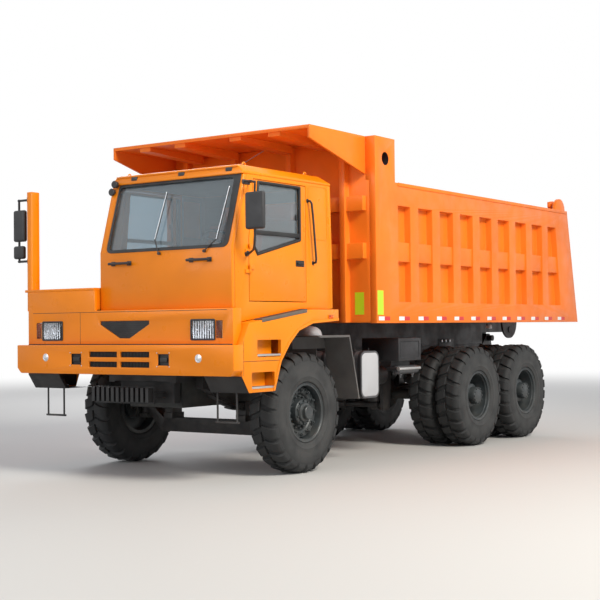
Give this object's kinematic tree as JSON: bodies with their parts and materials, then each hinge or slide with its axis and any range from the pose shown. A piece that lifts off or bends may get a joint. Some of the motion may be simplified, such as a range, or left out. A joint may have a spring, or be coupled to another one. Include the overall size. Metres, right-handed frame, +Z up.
{
  "type": "mining dump truck",
  "caption": "Six-wheeled off-road dump truck with a half cab set to the left, a deck beside it and a ribbed tipping bed whose canopy covers the cab.",
  "frame": {"origin": "on the ground under the middle of the truck's box", "axes": "+X to the truck's left, +Y to its rear, +Z up"},
  "size_m": [3.66, 8.75, 3.9489],
  "materials": {
    "chassis_black": "satin",
    "cab_orange": "gloss",
    "bed_orange": "satin",
    "castings": "matte",
    "tyre": "matte",
    "rim_paint": "satin",
    "glass": "clear",
    "lamp_lens": "clear",
    "seat_cloth": "woven",
    "dark_plastic": "grained",
    "tank_metal": "brushed",
    "rod_chrome": "polished",
    "dome_white": "satin"
  },
  "bodies": {
    "chassis": {"frame": "chassis_black", "crossmembers": "chassis_black", "front_axle": "chassis_black", "springs": "chassis_black", "rear_axles": "castings", "driveline": "castings", "engine": "castings", "radiator": "chassis_black", "bumper": "cab_orange", "front_panel": "cab_orange", "lamps": "lamp_lens", "fenders": "cab_orange", "deck": "cab_orange", "cab_floor": "chassis_black", "cab_front": "cab_orange", "cab_sides": "cab_orange", "cab_back": "cab_orange", "cab_roof": "cab_orange", "cab_glass": "glass", "seats": "seat_cloth", "dashboard": "dark_plastic", "mirrors": "dark_plastic", "mudguards": "dark_plastic", "fuel_tank": "tank_metal", "battery_box": "chassis_black", "air_cleaner": "dome_white", "ladder": "chassis_black"},
    "door_left": {"door_left": "cab_orange", "door_left_glass": "glass"},
    "door_right": {"door_right": "cab_orange", "door_right_glass": "glass"},
    "knuckle_left": {"knuckle_left": "castings"},
    "knuckle_right": {"knuckle_right": "castings"},
    "tie_rod": {"tie_rod": "castings"},
    "front_left_wheel": {"front_left_tyre": "tyre", "front_left_rim": "rim_paint"},
    "front_right_wheel": {"front_right_tyre": "tyre", "front_right_rim": "rim_paint"},
    "mid_left_wheels": {"mid_left_tyres": "tyre", "mid_left_rims": "rim_paint"},
    "mid_right_wheels": {"mid_right_tyres": "tyre", "mid_right_rims": "rim_paint"},
    "rear_left_wheels": {"rear_left_tyres": "tyre", "rear_left_rims": "rim_paint"},
    "rear_right_wheels": {"rear_right_tyres": "tyre", "rear_right_rims": "rim_paint"},
    "bed": {"bed_floor": "bed_orange", "bed_stringers": "chassis_black", "hoist_lugs": "chassis_black", "bed_sides": "bed_orange", "bed_headboard": "bed_orange", "bed_canopy": "bed_orange"},
    "tailgate": {"tailgate": "bed_orange"},
    "hoist_barrels": {"hoist_barrels": "castings"},
    "hoist_tubes_outer": {"hoist_tubes_outer": "rod_chrome"},
    "hoist_tubes_inner": {"hoist_tubes_inner": "rod_chrome"},
    "hoist_rods": {"hoist_rods": "rod_chrome"}
  },
  "joints": [
    {"name": "bed_tip", "type": "hinge", "parent": "chassis", "child": "bed", "pos_m": [0, 3.535, 1.45], "axis": [-1, 0, 0], "range_deg": [0, 45]},
    {"name": "tailgate_swing", "type": "hinge", "parent": "bed", "child": "tailgate", "pos_m": [0, 3.775, 3.52], "axis": [1, 0, 0], "range_deg": [0, 60]},
    {"name": "hoist_swing", "type": "hinge", "parent": "chassis", "child": "hoist_barrels", "pos_m": [0, 0.515, 0.56], "axis": [-1, 0, 0], "range_deg": [0, 22.64]},
    {"name": "hoist_reach_1", "type": "slide", "parent": "hoist_barrels", "child": "hoist_tubes_outer", "axis": [0, -0.1302, 0.9915], "range_m": [0, 0.76824]},
    {"name": "hoist_reach_2", "type": "slide", "parent": "hoist_tubes_outer", "child": "hoist_tubes_inner", "axis": [0, -0.1302, 0.9915], "range_m": [0, 0.76824]},
    {"name": "hoist_reach_3", "type": "slide", "parent": "hoist_tubes_inner", "child": "hoist_rods", "axis": [0, -0.1302, 0.9915], "range_m": [0, 0.76824]},
    {"name": "door_left_swing", "type": "hinge", "parent": "chassis", "child": "door_left", "pos_m": [1.466, -3.891, 2.5], "axis": [0, 0, -1], "range_deg": [0, 70]},
    {"name": "door_right_swing", "type": "hinge", "parent": "chassis", "child": "door_right", "pos_m": [-0.466, -3.891, 2.5], "axis": [0, 0, 1], "range_deg": [0, 70]},
    {"name": "steer_left", "type": "hinge", "parent": "chassis", "child": "knuckle_left", "pos_m": [1, -2.815, 0.685], "axis": [0, 0, 1], "range_deg": [-32, 32]},
    {"name": "steer_right", "type": "hinge", "parent": "chassis", "child": "knuckle_right", "pos_m": [-1, -2.815, 0.685], "axis": [0, 0, 1], "range_deg": [-32, 32]},
    {"name": "tie_rod_turn", "type": "hinge", "parent": "knuckle_left", "child": "tie_rod", "pos_m": [1, -2.585, 0.525], "axis": [0, 0, 1], "range_deg": [-32, 32]},
    {"name": "front_left_spin", "type": "hinge", "parent": "knuckle_left", "child": "front_left_wheel", "pos_m": [1.265, -2.815, 0.685], "axis": [1, 0, 0], "continuous": true},
    {"name": "front_right_spin", "type": "hinge", "parent": "knuckle_right", "child": "front_right_wheel", "pos_m": [-1.265, -2.815, 0.685], "axis": [1, 0, 0], "continuous": true},
    {"name": "mid_left_spin", "type": "hinge", "parent": "chassis", "child": "mid_left_wheels", "pos_m": [1.22, 1.085, 0.685], "axis": [1, 0, 0], "continuous": true},
    {"name": "mid_right_spin", "type": "hinge", "parent": "chassis", "child": "mid_right_wheels", "pos_m": [-1.22, 1.085, 0.685], "axis": [1, 0, 0], "continuous": true},
    {"name": "rear_left_spin", "type": "hinge", "parent": "chassis", "child": "rear_left_wheels", "pos_m": [1.22, 2.585, 0.685], "axis": [1, 0, 0], "continuous": true},
    {"name": "rear_right_spin", "type": "hinge", "parent": "chassis", "child": "rear_right_wheels", "pos_m": [-1.22, 2.585, 0.685], "axis": [1, 0, 0], "continuous": true}
  ],
  "couplings": [
    {"joint": "hoist_swing", "follows": "bed_tip", "ratio": 0.50296},
    {"joint": "hoist_reach_1", "follows": "bed_tip", "m_per_rad": 0.97803},
    {"joint": "hoist_reach_2", "follows": "bed_tip", "m_per_rad": 0.97803},
    {"joint": "hoist_reach_3", "follows": "bed_tip", "m_per_rad": 0.97803},
    {"joint": "steer_right", "follows": "steer_left", "ratio": 1},
    {"joint": "tie_rod_turn", "follows": "steer_left", "ratio": -1}
  ]
}
